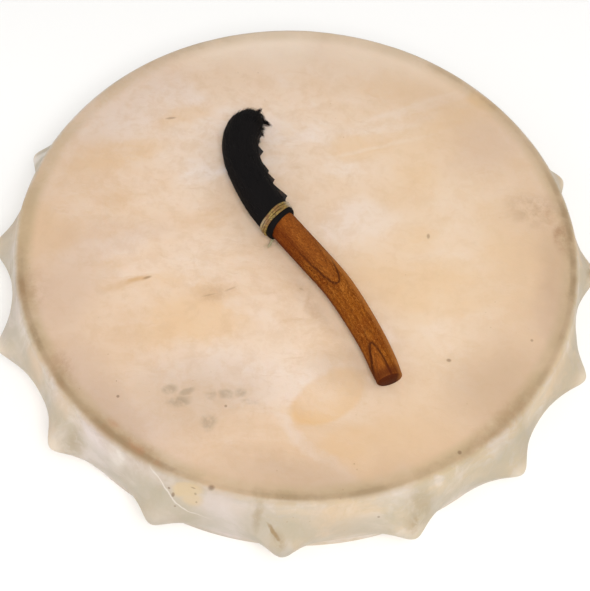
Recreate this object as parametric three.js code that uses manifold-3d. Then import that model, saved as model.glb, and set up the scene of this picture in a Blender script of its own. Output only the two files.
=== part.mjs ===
// A shaman's frame drum with its beater, in millimetres, +Z up.
// The drum lies on its open back with the head up. The origin is on the floor at the drum's centre.
// One raw hide is drawn over a bent-wood hoop and over sixteen wooden pegs that stand out of the
// hoop's side, so the side is a ring of tents. The beater lies on the head.
import * as THREE from "three";
import { mergeVertices } from "three/addons/utils/BufferGeometryUtils.js";
import Module from "manifold-3d";

const wasm = await Module();
wasm.setup();

// Driving dimensions
const DRUM_RADIUS = 225;
const DRUM_DEPTH = 88;
const HIDE_THICKNESS = 1.8;
const GAP = 0.3;

const RIM_ROUND = 4;
const BACK_ROUND = 3;
const CUFF_HEIGHT = 18;
const CUFF_GAP = 0.5;

const HOOP_THICKNESS = 9;
const HOOP_CHAMFER = 2.5;

const PEG_COUNT = 16;
const PEG_HEIGHT = 48;
const PEG_TIP_RADIUS = 250.3;
const PEG_HEAD_CLEARANCE = 1.6;
const FIRST_PEG_ANGLE = THREE.MathUtils.degToRad(-88);
const PEG_DRIFT = THREE.MathUtils.degToRad(1.3);
const DRIFT_START = THREE.MathUtils.degToRad(34);

const TENT_BLUNTNESS = 9.9;
const TENT_SHARPNESS = 1.53;
const HIDE_COLUMNS_PER_PEG = 7;
const COLUMN_CROWDING = 0.72;

const GRIP_HEIGHT = 44;
const TENON_RADIUS = 6;
const TENON_LENGTH = 6;

const HIDE_OUTER = DRUM_RADIUS;
const HOOP_OUTER = DRUM_RADIUS - HIDE_THICKNESS - GAP;
const HOOP_INNER = HOOP_OUTER - HOOP_THICKNESS;
const HOOP_BOTTOM = HIDE_THICKNESS + GAP;
const HOOP_TOP = DRUM_DEPTH - HIDE_THICKNESS - GAP;

const WOOD = { color: 0x9a5622, roughness: 0.45, metalness: 0 };
const PALE_WOOD = { color: 0xb98a58, roughness: 0.6, metalness: 0 };
const RAW_HIDE = { color: 0xe8cdb0, roughness: 0.5, metalness: 0 };
const BLACK_FUR = { color: 0x121214, roughness: 0.9, metalness: 0 };
const SINEW = { color: 0x9c8746, roughness: 0.6, metalness: 0 };

const drum = new THREE.Group();

function addPiece(name, geometry, finish, parent = drum) {
  const mesh = new THREE.Mesh(geometry, new THREE.MeshStandardMaterial(finish));
  mesh.name = name;
  parent.add(mesh);
  return mesh;
}

// A profile of [radius, height] pairs, turned about the Z axis.
function turned(profile, segments) {
  const points = profile.map(([radius, height]) => new THREE.Vector2(radius, height));
  return new THREE.LatheGeometry(points, segments).rotateX(Math.PI / 2);
}

function solidOf(geometry) {
  const bare = geometry.clone();
  bare.deleteAttribute("normal");
  bare.deleteAttribute("uv");
  const merged = mergeVertices(bare, 1e-4);
  return new wasm.Manifold(
    new wasm.Mesh({
      numProp: 3,
      vertProperties: new Float32Array(merged.attributes.position.array),
      triVerts: new Uint32Array(merged.index.array),
    }),
  );
}

function geometryOf(solid) {
  const mesh = solid.getMesh();
  const geometry = new THREE.BufferGeometry();
  geometry.setAttribute("position", new THREE.BufferAttribute(mesh.vertProperties, 3));
  geometry.setIndex(new THREE.BufferAttribute(mesh.triVerts, 1));
  return geometry;
}

// --- The pegs' places -------------------------------------------------------------------------
// The pegs were set by eye, so they drift a little round the hoop from an even spacing.

function driftedAngle(angle) {
  return angle + PEG_DRIFT * Math.sin(angle - FIRST_PEG_ANGLE - DRIFT_START);
}

function evenPegAngle(index) {
  return FIRST_PEG_ANGLE + (index * 2 * Math.PI) / PEG_COUNT;
}

// --- Hide: one skin over the head, the side, the back edge and a cuff inside the hoop -----------
// Between the head's rim and the back edge the stretched skin is a membrane in a strip, held out
// by a row of pegs. tentOfOnePeg is that membrane's height beside one peg.

function tentOfOnePeg(along, height) {
  const perDepth = Math.PI / DRUM_DEPTH;
  const blunt = (TENT_BLUNTNESS * perDepth) ** 2 / 2;
  const spread = Math.cosh(along * perDepth) + blunt;
  const far = spread - Math.cos((height + PEG_HEIGHT) * perDepth);
  const near = spread - Math.cos((height - PEG_HEIGHT) * perDepth);
  return Math.log(far / near) / 2;
}

function tentOfAllPegs(evenAngle, height) {
  let sum = 0;
  for (let index = 0; index < PEG_COUNT; index++) {
    const turn = evenAngle - evenPegAngle(index);
    const nearest = Math.atan2(Math.sin(turn), Math.cos(turn));
    sum += tentOfOnePeg(nearest * DRUM_RADIUS, height);
  }
  return sum;
}

const tallestTent = tentOfAllPegs(FIRST_PEG_ANGLE, PEG_HEIGHT);

function sideBulge(evenAngle, height) {
  const share = Math.max(0, tentOfAllPegs(evenAngle, height) / tallestTent);
  return (PEG_TIP_RADIUS - DRUM_RADIUS) * share ** TENT_SHARPNESS;
}

// The turned columns are crowded towards the pegs, where the tents are steepest.
function crowdedAngle(angle) {
  const wave = PEG_COUNT * (angle - FIRST_PEG_ANGLE);
  return angle - (COLUMN_CROWDING / PEG_COUNT) * Math.sin(wave);
}

function hideProfile() {
  const outerHeights = [74, 64, 55, PEG_HEIGHT, 41, 31, 17];
  const innerHeights = [17, 40, PEG_HEIGHT, 56, 73];
  const inner = HIDE_OUTER - HIDE_THICKNESS;
  const cuffOuter = HOOP_INNER - CUFF_GAP;
  const cuffInner = cuffOuter - HIDE_THICKNESS;
  const corner = 1 - Math.SQRT1_2;
  return [
    [0, DRUM_DEPTH - HIDE_THICKNESS],
    [inner - 2.2, DRUM_DEPTH - HIDE_THICKNESS],
    [inner, DRUM_DEPTH - RIM_ROUND],
    ...innerHeights.toReversed().map((height) => [inner, height]),
    [inner, RIM_ROUND],
    [inner - 2.2, HIDE_THICKNESS],
    [cuffOuter, HIDE_THICKNESS],
    [cuffOuter, CUFF_HEIGHT],
    [cuffInner, CUFF_HEIGHT],
    [cuffInner, BACK_ROUND],
    [cuffInner + BACK_ROUND, 0],
    [HIDE_OUTER - BACK_ROUND, 0],
    [HIDE_OUTER - BACK_ROUND * corner, BACK_ROUND * corner],
    [HIDE_OUTER, BACK_ROUND],
    ...outerHeights.toReversed().map((height) => [HIDE_OUTER, height]),
    [HIDE_OUTER, DRUM_DEPTH - RIM_ROUND],
    [HIDE_OUTER - RIM_ROUND * corner, DRUM_DEPTH - RIM_ROUND * corner],
    [HIDE_OUTER - RIM_ROUND, DRUM_DEPTH],
    [0, DRUM_DEPTH],
  ];
}

function makeHide() {
  const geometry = turned(hideProfile(), PEG_COUNT * HIDE_COLUMNS_PER_PEG);
  geometry.rotateZ(FIRST_PEG_ANGLE);
  const position = geometry.attributes.position;
  for (let i = 0; i < position.count; i++) {
    const x = position.getX(i);
    const y = position.getY(i);
    const height = position.getZ(i);
    const turnedRadius = Math.hypot(x, y);
    const evenAngle = crowdedAngle(Math.atan2(y, x));
    const onSide = turnedRadius > HOOP_OUTER;
    const bulge = onSide ? sideBulge(evenAngle, height) : 0;
    const angle = driftedAngle(evenAngle);
    position.setX(i, (turnedRadius + bulge) * Math.cos(angle));
    position.setY(i, (turnedRadius + bulge) * Math.sin(angle));
  }
  return geometry;
}

addPiece("drum_hide", makeHide(), RAW_HIDE);

// --- Hoop: bent wood under the hide, with two blind mortises for the grip -----------------------

function makeHoop() {
  const ring = turned(
    [
      [HOOP_INNER, HOOP_BOTTOM],
      [HOOP_OUTER - HOOP_CHAMFER, HOOP_BOTTOM],
      [HOOP_OUTER, HOOP_BOTTOM + HOOP_CHAMFER],
      [HOOP_OUTER, HOOP_TOP - HOOP_CHAMFER],
      [HOOP_OUTER - HOOP_CHAMFER, HOOP_TOP],
      [HOOP_INNER, HOOP_TOP],
      [HOOP_INNER, HOOP_BOTTOM],
    ],
    64,
  );
  const mortiseReach = HOOP_INNER + TENON_LENGTH + GAP;
  const mortises = new THREE.CylinderGeometry(
    TENON_RADIUS + GAP,
    TENON_RADIUS + GAP,
    2 * mortiseReach,
    16,
  )
    .rotateZ(Math.PI / 2)
    .translate(0, 0, GRIP_HEIGHT);
  return geometryOf(solidOf(ring).subtract(solidOf(mortises)));
}

addPiece("hoop", makeHoop(), PALE_WOOD);

// --- Pegs: short turned knobs that hold the hide away from the hoop -----------------------------

function makePeg() {
  const root = HOOP_OUTER + GAP;
  const tip = PEG_TIP_RADIUS - HIDE_THICKNESS - GAP - PEG_HEAD_CLEARANCE;
  const profile = [
    [0, root],
    [7.5, root],
    [5.5, root + 0.4 * (tip - root)],
    [6.6, tip - 6],
    [3.6, tip - 1.6],
    [0, tip],
  ];
  return turned(profile, 8).rotateY(Math.PI / 2);
}

for (let index = 0; index < PEG_COUNT; index++) {
  const number = String(index + 1).padStart(2, "0");
  const peg = addPiece(`peg_${number}`, makePeg(), PALE_WOOD);
  peg.position.z = PEG_HEIGHT;
  peg.rotation.z = driftedAngle(evenPegAngle(index));
}

// --- Limbs: carved pieces of oval section that follow a curve -----------------------------------
// halfWidth lies across the curve and level, halfHeight upwards. Both are functions of the share
// of the curve's length, from 0 to 1. A crowding above 1 draws the steps together towards the end.

function limb(curve, from, to, sides, steps, halfWidth, halfHeight, crowding = 1) {
  const geometry = new THREE.CylinderGeometry(1, 1, 1, sides, steps);
  const position = geometry.attributes.position;
  const up = new THREE.Vector3(0, 0, 1);
  for (let i = 0; i < position.count; i++) {
    const share = to - (to - from) * (0.5 - position.getY(i)) ** crowding;
    const centre = curve.getPointAt(share);
    const tangent = curve.getTangentAt(share);
    const across = new THREE.Vector3().crossVectors(tangent, up).normalize();
    const above = new THREE.Vector3().crossVectors(across, tangent);
    centre.addScaledVector(across, position.getX(i) * halfWidth(share));
    centre.addScaledVector(above, position.getZ(i) * halfHeight(share));
    position.setXYZ(i, centre.x, centre.y, centre.z);
  }
  return geometry;
}

const blend = (share, start, end, low, high) =>
  low + (high - low) * THREE.MathUtils.smoothstep(share, start, end);

// --- Grip: a carved bar across the open back, tenoned into the hoop ------------------------------

function makeGrip() {
  const reach = HOOP_INNER - 2 * GAP;
  const line = new THREE.LineCurve3(
    new THREE.Vector3(-reach, 0, GRIP_HEIGHT),
    new THREE.Vector3(reach, 0, GRIP_HEIGHT),
  );
  const fromMiddle = (share) => Math.abs(2 * share - 1);
  const swell = (share, palm, neck) =>
    blend(fromMiddle(share), 0.15, 0.4, palm, neck) + blend(fromMiddle(share), 0.7, 1, 0, 4);
  const halfWidth = (share) => swell(share, 11, 8);
  const halfHeight = (share) => swell(share, 12, 9);
  const bar = limb(line, 0, 1, 12, 12, halfWidth, halfHeight);
  const tenons = new THREE.CylinderGeometry(
    TENON_RADIUS,
    TENON_RADIUS,
    2 * (HOOP_INNER + TENON_LENGTH),
    16,
  )
    .rotateZ(Math.PI / 2)
    .translate(0, 0, GRIP_HEIGHT);
  return geometryOf(solidOf(bar).add(solidOf(tenons)));
}

addPiece("grip_bar", makeGrip(), WOOD);

// --- Beater: a crooked stick with a fur sleeve on its striking end, bound with sinew --------------
// The beater's line is drawn on the head from just beyond the handle's butt to the sleeve's tip.
// Places along the beater are given as shares of that line.

const HEAD_TOP = DRUM_DEPTH;
const BUTT_LIFT = 10;
const SLEEVE_LIFT = 14.4;
const STICK_START = 0.02;
const SLEEVE_MOUTH = 0.566;
const BINDING_START = 0.582;
const BINDING_END = 0.615;
const STICK_END = 0.92;
const TIP_START = 0.93;
const TIP_CROWDING = 1.55;

const beaterPlan = [
  [78, -131], [64, -99], [48, -71], [32, -48], [12, -26], [-9, -3],
  [-27, 18], [-41, 41], [-52, 66], [-54, 88], [-47, 102], [-38, 106],
];

const beaterLine = new THREE.CatmullRomCurve3(
  beaterPlan.map(([x, y], index) => {
    const lift = blend(index, 1, 5, BUTT_LIFT, SLEEVE_LIFT);
    return new THREE.Vector3(x, y, HEAD_TOP + lift);
  }),
);

// The stick swells towards the sleeve and is thinned under it.
function stickWidth(share) {
  const handle = blend(share, STICK_START, 0.07, 9.6, 10.8) + blend(share, 0.07, 0.45, 0, 1.5);
  return handle - blend(share, SLEEVE_MOUTH, 0.66, 0, 4.6);
}

function stickHeight(share) {
  return blend(share, STICK_START, 0.07, 8.6, 9.4) - blend(share, SLEEVE_MOUTH, 0.66, 0, 2.5);
}

function makeStick(clearance) {
  return limb(
    beaterLine,
    clearance > 0 ? SLEEVE_MOUTH - 0.02 : STICK_START,
    STICK_END + clearance * 0.01,
    12,
    clearance > 0 ? 10 : 20,
    (share) => stickWidth(share) + clearance,
    (share) => stickHeight(share) + clearance,
  );
}

addPiece("beater_stick", makeStick(0), WOOD);

// The sleeve's tip is a half round.
function tipRound(share) {
  const along = THREE.MathUtils.clamp((share - TIP_START) / (1 - TIP_START), 0, 1);
  return Math.sqrt(Math.max(0.04, 1 - along ** 2));
}

const sleeveWidth = (share) => blend(share, 0.6, 0.7, 15.4, 14.9) * tipRound(share);
const sleeveHeight = (share) => blend(share, 0.62, 0.69, 11.6, 13.7) * tipRound(share);

function makeSleeve() {
  const outside = limb(
    beaterLine,
    SLEEVE_MOUTH,
    1,
    14,
    14,
    sleeveWidth,
    sleeveHeight,
    TIP_CROWDING,
  );
  return geometryOf(solidOf(outside).subtract(solidOf(makeStick(0.7))));
}

addPiece("beater_sleeve", makeSleeve(), BLACK_FUR);

function makeBinding() {
  const wrap = (thickness, extra) =>
    solidOf(
      limb(
        beaterLine,
        BINDING_START - extra,
        BINDING_END + extra,
        14,
        3,
        (share) => sleeveWidth(share) + thickness,
        (share) => sleeveHeight(share) + thickness,
      ),
    );
  return geometryOf(wrap(1.9, 0).subtract(wrap(GAP, 0.01)));
}

addPiece("beater_binding", makeBinding(), SINEW);

export default drum;
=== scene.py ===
import math
import random

import bmesh
import bpy
import numpy as np
from mathutils import Matrix, Vector, noise


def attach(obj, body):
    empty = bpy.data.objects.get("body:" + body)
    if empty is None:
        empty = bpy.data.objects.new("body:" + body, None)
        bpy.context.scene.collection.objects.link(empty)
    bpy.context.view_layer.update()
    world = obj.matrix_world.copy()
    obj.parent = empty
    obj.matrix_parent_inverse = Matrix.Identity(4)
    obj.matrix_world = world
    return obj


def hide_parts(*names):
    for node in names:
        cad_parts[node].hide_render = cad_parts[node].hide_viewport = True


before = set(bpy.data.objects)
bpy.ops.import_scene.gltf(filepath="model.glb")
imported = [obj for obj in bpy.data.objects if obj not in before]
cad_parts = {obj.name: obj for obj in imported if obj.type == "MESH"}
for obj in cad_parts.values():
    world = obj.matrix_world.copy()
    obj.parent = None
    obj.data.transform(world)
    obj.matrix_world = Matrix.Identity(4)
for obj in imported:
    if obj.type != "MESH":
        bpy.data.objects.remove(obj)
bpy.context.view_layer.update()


# --- Camera ---------------------------------------------------------------------------------------
# The view looks down on the head from the front, from just under a metre away, and the camera is
# tilted a few degrees to one side.

view_target = Vector((0.00056, -0.0531, 0.0881))
view_distance = 0.9727
view_elevation = math.radians(58.94)
view_roll = math.radians(4.48)
focal_length, film_width = 76.14, 36

back = Vector((0, -math.cos(view_elevation), math.sin(view_elevation)))
level = Vector((1, 0, 0))
upright = back.cross(level)
right = math.cos(view_roll) * level + math.sin(view_roll) * upright
up = math.cos(view_roll) * upright - math.sin(view_roll) * level

lens = bpy.data.cameras.new("camera")
lens.lens = focal_length
lens.sensor_width = film_width
camera = bpy.data.objects.new("camera", lens)
camera.matrix_world = Matrix.Translation(view_target + view_distance * back) @ (
    Matrix((right, up, back)).transposed().to_4x4()
)
bpy.context.scene.collection.objects.link(camera)
bpy.context.scene.camera = camera


# --- Floor and light ------------------------------------------------------------------------------
# A plain pale floor under broad, soft studio light. The widest light stands behind the viewer, so
# hardly any shade shows beside the beater.

MM = 0.001
FLOOR_GAP = 0.3
FLOOR_HALF_SIZE = 6
ROOM_LIGHT = 0.55


def tone(red, green, blue):
    """A colour as a paint chart gives it, 0 to 255, for a shader's socket."""

    def straight(value):
        value /= 255
        return value / 12.92 if value <= 0.04045 else ((value + 0.055) / 1.055) ** 2.4

    return (straight(red), straight(green), straight(blue), 1)


def new_material(name):
    material = bpy.data.materials.new(name)
    material.use_nodes = True
    return material, material.node_tree, material.node_tree.nodes["Principled BSDF"]


bm = bmesh.new()
bmesh.ops.create_grid(bm, x_segments=1, y_segments=1, size=FLOOR_HALF_SIZE)
bmesh.ops.translate(bm, vec=(0, 0, -FLOOR_GAP * MM), verts=bm.verts)
floor_mesh = bpy.data.meshes.new("floor")
bm.to_mesh(floor_mesh)
bm.free()
floor = bpy.data.objects.new("floor", floor_mesh)
bpy.context.scene.collection.objects.link(floor)
floor_paint, _, floor_shader = new_material("floor_paint")
floor_shader.inputs["Base Color"].default_value = tone(250, 249, 247)
floor_shader.inputs["Roughness"].default_value = 0.9
floor_mesh.materials.append(floor_paint)

world = bpy.data.worlds.new("studio")
world.use_nodes = True
background = world.node_tree.nodes["Background"]
background.inputs["Color"].default_value = (1, 1, 1, 1)
background.inputs["Strength"].default_value = ROOM_LIGHT
bpy.context.scene.world = world
bpy.context.scene.view_settings.view_transform = "Standard"


def add_soft_light(name, place, size, power):
    light = bpy.data.lights.new(name, "AREA")
    light.shape = "DISK"
    light.size = size
    light.energy = power
    lamp = bpy.data.objects.new(name, light)
    lamp.location = place
    lamp.rotation_mode = "QUATERNION"
    lamp.rotation_quaternion = Vector(place).to_track_quat("Z", "Y")
    bpy.context.scene.collection.objects.link(lamp)


add_soft_light("front_light", (0.16, -1.05, 1.7), 0.9, 24)
add_soft_light("right_light", (1.2, 0.3, 1.3), 1.1, 3.5)
add_soft_light("left_light", (-1.3, -0.3, 1.0), 1.4, 3.5)


# --- Hide -----------------------------------------------------------------------------------------
# One raw skin, wetted and drawn over the head, over sixteen pegs on the hoop's side, round the back
# edge and up inside the hoop. It dried hard: cream and peach, with paler veils, brown stains and a
# band of dirt along the rim.

DRUM_RADIUS = 225
DRUM_DEPTH = 88
HIDE_THICKNESS = 1.8
HOOP_OUTER = 222.9
HOOP_INNER = 213.9
CUFF_HEIGHT = 18
RIM_ROUND = 4
BACK_ROUND = 3
CUFF_ROUND = 2.4

PEG_COUNT = 16
PEG_HEIGHT = 48
PEG_TIP_RADIUS = 250.3
PEG_BLUNTNESS = 9.9
FIRST_PEG_ANGLE = math.radians(-88)
PEG_DRIFT = math.radians(1.3)
DRIFT_START = math.radians(34)


def drifted_angle(angle):
    """The pegs were spaced by eye, so they drift a little round the hoop."""
    return angle + PEG_DRIFT * np.sin(angle - FIRST_PEG_ANGLE - DRIFT_START)


def tent_of_one_peg(along, height):
    """The height of a skin stretched in a strip between rim and back, pushed out by one peg."""
    per_depth = math.pi / DRUM_DEPTH
    spread = np.cosh(along * per_depth) + (PEG_BLUNTNESS * per_depth) ** 2 / 2
    far = spread - np.cos((height + PEG_HEIGHT) * per_depth)
    near = spread - np.cos((height - PEG_HEIGHT) * per_depth)
    return np.log(far / near) / 2


def nearest_turn(turn):
    return np.arctan2(np.sin(turn), np.cos(turn))


def tent_of_all_pegs(even_angle, height):
    total = 0
    for index in range(PEG_COUNT):
        turn = nearest_turn(even_angle - FIRST_PEG_ANGLE - index * 2 * math.pi / PEG_COUNT)
        total = total + tent_of_one_peg(turn * DRUM_RADIUS, height)
    return total


def corner(radius, height, bend, start, end, steps):
    """Points of a rounded corner about its centre, from one angle to another in degrees."""
    angles = np.radians(np.linspace(start, end, steps))
    return [(radius + bend * math.cos(a), height + bend * math.sin(a)) for a in angles]


def smooth_share(value, low, high):
    share = np.clip((value - low) / (high - low), 0, 1)
    return share * share * (3 - 2 * share)


def rough_field(points, size, seed):
    """Soft random unevenness between about -1 and 1, with bumps of the given size."""
    shift = Vector((seed * 13.7, seed * 7.3, seed * 3.1))
    return np.array([noise.fractal(Vector(p) / size + shift, 1.0, 2.0, 3) for p in points])


def hide_profile():
    """The skin cut through from the head's middle to the cuff, and back along its inner face."""
    inner_side = DRUM_RADIUS - HIDE_THICKNESS
    under_head = DRUM_DEPTH - HIDE_THICKNESS
    cuff_outer = HOOP_INNER - 0.5
    cuff_inner = cuff_outer - HIDE_THICKNESS
    side_heights = list(np.linspace(82, 5, 45))
    head = [(r, DRUM_DEPTH) for r in [*range(0, 200, 9), *range(200, 221, 3)]]
    rim = corner(DRUM_RADIUS - RIM_ROUND, DRUM_DEPTH - RIM_ROUND, RIM_ROUND, 90, 0, 6)
    side = [(DRUM_RADIUS, h) for h in side_heights]
    back_edge = corner(DRUM_RADIUS - BACK_ROUND, BACK_ROUND, BACK_ROUND, 0, -90, 6) + [(218, 0)]
    cuff_turn = corner(cuff_inner + CUFF_ROUND, CUFF_ROUND, CUFF_ROUND, -90, -180, 5)
    cuff = [(cuff_inner, h) for h in (5, 9, 13, 16.5)] + [(cuff_inner + 0.5, CUFF_HEIGHT - 0.1)]
    cuff_back = [(cuff_outer - 0.4, CUFF_HEIGHT), (cuff_outer, 16.5), (cuff_outer, 3)]
    inside = [(cuff_outer + 1, HIDE_THICKNESS), (inner_side - 2, HIDE_THICKNESS)]
    inside += [(inner_side, 3.8), *((inner_side, h) for h in reversed(side_heights))]
    inside += [(inner_side, 84), (inner_side - 2.2, under_head)]
    underside = [(r, under_head) for r in (*range(215, 190, -8), *range(180, -1, -15))]
    return head + rim + side + back_edge + cuff_turn + cuff + cuff_back + inside + underside


def make_piece(bm, name, material, replaced=None):
    """Turns a shape drawn in millimetres into a piece that rides with the drum."""
    bmesh.ops.scale(bm, vec=(MM, MM, MM), verts=bm.verts)
    mesh = bpy.data.meshes.new(name)
    bm.to_mesh(mesh)
    bm.free()
    mesh.shade_smooth()
    mesh.materials.append(material)
    piece = bpy.data.objects.new(name, mesh)
    bpy.context.scene.collection.objects.link(piece)
    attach(piece, "root")
    if replaced:
        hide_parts(replaced)
    return piece


def spin_profile(points, steps, start_angle=0.0):
    """Turns a profile of (radius, height) points about the drum's axis."""
    bm = bmesh.new()
    way = (math.cos(start_angle), math.sin(start_angle))
    verts = [bm.verts.new((r * way[0], r * way[1], h)) for r, h in points]
    edges = [bm.edges.new(pair) for pair in zip(verts, verts[1:])]
    bmesh.ops.spin(
        bm,
        geom=verts + edges,
        axis=(0, 0, 1),
        cent=(0, 0, 0),
        angle=2 * math.pi,
        steps=steps,
        use_merge=True,
        use_duplicate=False,
    )
    bmesh.ops.remove_doubles(bm, verts=bm.verts, dist=0.001)
    bmesh.ops.recalc_face_normals(bm, faces=bm.faces)
    return bm


# The skin is spun evenly. Then its points are crowded towards the pegs, and its side is stretched
# out over them.
CROWDING = 0.72
TENT_SHARPNESS = 1.53
bm = spin_profile(hide_profile(), PEG_COUNT * 28, FIRST_PEG_ANGLE)
flat = np.array([v.co[:] for v in bm.verts])
radius = np.hypot(flat[:, 0], flat[:, 1])
height = flat[:, 2]
even = np.arctan2(flat[:, 1], flat[:, 0])
even = even - CROWDING / PEG_COUNT * np.sin(PEG_COUNT * (even - FIRST_PEG_ANGLE))
tallest = tent_of_all_pegs(np.array([FIRST_PEG_ANGLE]), np.array([float(PEG_HEIGHT)]))[0]
stretch = np.maximum(tent_of_all_pegs(even, height) / tallest, 0)
bulge = (PEG_TIP_RADIUS - DRUM_RADIUS) * stretch**TENT_SHARPNESS
on_side = radius > HOOP_OUTER

# Folds fan out from each peg, where the wet skin was pulled tight over its head.
FOLD_HEIGHT = 0.28
FOLDS_PER_PEG = 7
FOLD_VARIETY = 2.3
BROAD_BUMP, SMALL_BUMP = (0.8, 34), (0.3, 11)
peg_turn = nearest_turn((even - FIRST_PEG_ANGLE) * PEG_COUNT) / PEG_COUNT
from_peg = np.hypot(peg_turn * DRUM_RADIUS, height - PEG_HEIGHT)
fan = np.arctan2(height - PEG_HEIGHT, peg_turn * DRUM_RADIUS)
which_peg = np.round((even - FIRST_PEG_ANGLE) / (2 * math.pi / PEG_COUNT))
fold_reach = smooth_share(from_peg, 5, 16) * (1 - smooth_share(from_peg, 22, 44))
fold = FOLD_HEIGHT * fold_reach * np.sin(FOLDS_PER_PEG * fan + FOLD_VARIETY * which_peg)
uneven = BROAD_BUMP[0] * rough_field(flat, BROAD_BUMP[1], 1)
uneven = uneven + SMALL_BUMP[0] * rough_field(flat, SMALL_BUMP[1], 2)
edge_fade = smooth_share(height, 4, 16) * (1 - smooth_share(height, 72, 84))
bulge = bulge + edge_fade * (fold + uneven * (1 - smooth_share(stretch, 0.5, 0.8)))
radius = radius + np.where(on_side, bulge, 0)
angle = drifted_angle(even)

# The head dips a little inside the hoop's top edge and is not quite flat.
DEEPEST_DIP = 1.4
head_share = smooth_share(height, 84, 86)
dip = 0.7 * (1 - smooth_share(radius, 203, 216)) + 0.35 * (1 + rough_field(flat, 70, 3))
height = height - head_share * np.minimum(dip, DEEPEST_DIP)

moved = np.stack([radius * np.cos(angle), radius * np.sin(angle), height], axis=1)
for vert, place in zip(bm.verts, moved):
    vert.co = place


def add_node(tree, kind, inputs=None, **settings):
    """Adds a shader node; an input is a number, a colour or another node's output."""
    node = tree.nodes.new(kind)
    for key, value in settings.items():
        setattr(node, key, value)
    for key, value in (inputs or {}).items():
        if isinstance(value, bpy.types.NodeSocket):
            tree.links.new(value, node.inputs[key])
        else:
            node.inputs[key].default_value = value
    return node


def object_place(tree):
    return add_node(tree, "ShaderNodeTexCoord").outputs["Object"]


def written(tree, name):
    """A value that was written to each point of the piece."""
    return add_node(tree, "ShaderNodeAttribute", attribute_name=name).outputs["Fac"]


def write_values(piece, name, values):
    """Writes one number to each point of the piece, for its material to read."""
    data = piece.data.attributes.new(name, "FLOAT", "POINT").data
    data.foreach_set("value", np.asarray(values, dtype=np.float32))


def calc(tree, operation, first, second=0.0, **settings):
    inputs = {0: first, 1: second}
    return add_node(tree, "ShaderNodeMath", inputs, operation=operation, **settings).outputs[0]


def product(tree, first, *others):
    for other in others:
        first = calc(tree, "MULTIPLY", first, other)
    return first


def vector_calc(tree, operation, first, second=(0, 0, 0)):
    """Vector arithmetic. A length comes out as a number."""
    node = add_node(tree, "ShaderNodeVectorMath", {0: first, 1: second}, operation=operation)
    return node.outputs["Value" if operation == "LENGTH" else "Vector"]


def fade(tree, value, start, end, low=0.0, high=1.0):
    """Rises smoothly from low to high as value goes from start to end."""
    inputs = {"Value": value, "From Min": start, "From Max": end, "To Min": low, "To Max": high}
    node = add_node(tree, "ShaderNodeMapRange", inputs, interpolation_type="SMOOTHSTEP")
    return node.outputs[0]


def mix(tree, share, first, second):
    inputs = {0: share, 6: first, 7: second}
    return add_node(tree, "ShaderNodeMix", inputs, data_type="RGBA").outputs[2]


def wash(tree, colour, paint, *masks):
    """Lays a tone or another colour over a colour, as thickly as its masks' product."""
    if isinstance(paint, tuple):
        paint = tone(*paint)
    return mix(tree, product(tree, *masks), colour, paint)


def grain_noise(tree, vector, scale, detail=4.0, roughness=0.55, distortion=0.0, turn=0.0):
    """Noise in even grains, or in grains drawn out and turned where the scale has three parts."""
    if isinstance(scale, tuple):
        drawn_out = {"Vector": vector, "Scale": scale, "Rotation": (0, 0, math.radians(turn))}
        vector = add_node(tree, "ShaderNodeMapping", drawn_out).outputs[0]
        scale = 1.0
    inputs = {"Vector": vector, "Scale": scale, "Detail": detail}
    inputs |= {"Roughness": roughness, "Distortion": distortion}
    return add_node(tree, "ShaderNodeTexNoise", inputs).outputs["Fac"]


def noise_washes(tree, colour, rows):
    """Washes shaped by noise. A row is the noise's vector, scale, detail, roughness, distortion and
    turn, the values between which it shows, and the wash's strength and tone."""
    for *grain, start, end, strength, paint in rows:
        shown = fade(tree, grain_noise(tree, *grain), start, end, 0, strength)
        colour = wash(tree, colour, paint, shown)
    return colour


def finish_surface(tree, shader, colour, roughness, relief=None, strength=0.0, depth=0.0):
    """Joins colour, roughness and relief to the surface. The relief's depth is in millimetres."""
    tree.links.new(colour, shader.inputs["Base Color"])
    if isinstance(roughness, bpy.types.NodeSocket):
        tree.links.new(roughness, shader.inputs["Roughness"])
    else:
        shader.inputs["Roughness"].default_value = roughness
    if relief is not None:
        inputs = {"Height": relief, "Strength": strength, "Distance": depth * MM}
        bump = add_node(tree, "ShaderNodeBump", inputs)
        tree.links.new(bump.outputs[0], shader.inputs["Normal"])


def new_group(name, taken, given):
    """A node group, with the names and kinds of the sockets it takes and gives."""
    group = bpy.data.node_groups.new(name, "ShaderNodeTree")
    for in_out, sockets in (("INPUT", taken), ("OUTPUT", given)):
        for key, kind in sockets.items():
            group.interface.new_socket(key, in_out=in_out, socket_type="NodeSocket" + kind)
    return group, add_node(group, "NodeGroupInput").outputs


def make_spot_group():
    """One oval spot on the head: 1 inside, 0 outside, with an edge as soft as asked."""
    taken = {"Vector": "Vector", "Centre": "Vector", "Sharpness": "Vector"}
    taken |= {"Turn": "Float", "Edge": "Float"}
    group, given = new_group("oval_spot", taken, {"Mask": "Float"})
    offset = vector_calc(group, "SUBTRACT", given["Vector"], given["Centre"])
    inputs = {"Vector": offset, "Angle": given["Turn"]}
    turned = add_node(group, "ShaderNodeVectorRotate", inputs, rotation_type="Z_AXIS").outputs[0]
    away = vector_calc(group, "LENGTH", vector_calc(group, "MULTIPLY", turned, given["Sharpness"]))
    outer = calc(group, "ADD", 1.0, given["Edge"])
    inner = calc(group, "SUBTRACT", 1.0, given["Edge"])
    add_node(group, "NodeGroupOutput", {"Mask": fade(group, away, outer, inner)})
    return group


spot_group = make_spot_group()


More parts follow.
